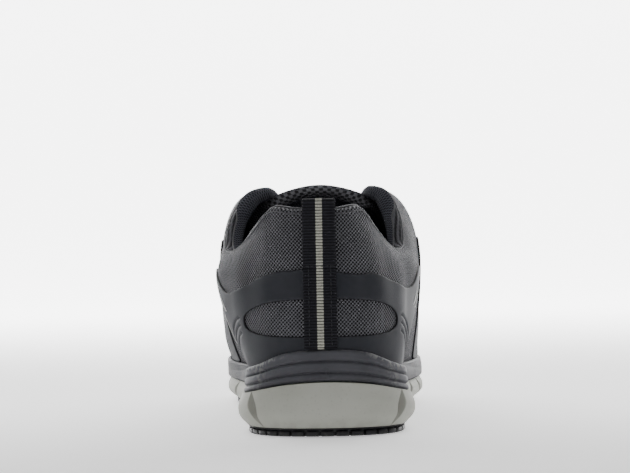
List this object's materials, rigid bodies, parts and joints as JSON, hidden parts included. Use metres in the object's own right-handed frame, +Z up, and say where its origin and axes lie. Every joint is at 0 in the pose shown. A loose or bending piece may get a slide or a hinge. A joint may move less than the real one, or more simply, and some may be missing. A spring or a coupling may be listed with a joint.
{
  "type": "safety sneaker",
  "caption": "Low laced safety sneaker, right foot: cushioned faceted midsole, ribbed heel rand, mesh upper with heel counter and toe guard, padded collar, tongue, lace and heel pull loop.",
  "frame": {"origin": "on the floor plane, at the middle of the shoe's overall length and width", "axes": "+Y towards the toe along the sole, +X towards the little-toe side, +Z up"},
  "size_m": [0.1091, 0.3001, 0.1184],
  "materials": {
    "outsole": "matt black rubber",
    "midsole": "matt light grey foam with a fine skin",
    "rand": "matt dark grey moulded stabiliser",
    "insole": "dark knitted cover over foam",
    "mesh_fabric": "grey diamond mesh over a black ground",
    "overlay": "smooth dark blue-grey film, slight sheen",
    "tongue": "padded mesh fabric",
    "lace": "flat woven lace",
    "webbing": "black ribbed webbing with a pale line"
  },
  "bodies": {
    "root": {"outsole": "outsole", "midsole": "midsole", "rand": "rand", "insole": "insole", "upper": "mesh_fabric", "heel_counter": "overlay", "toe_guard": "overlay", "side_panel_outer": "overlay", "side_panel_inner": "overlay", "eyestay": "overlay", "tongue": "tongue", "lace": "lace", "pull_loop": "webbing"}
  },
  "joints": []
}
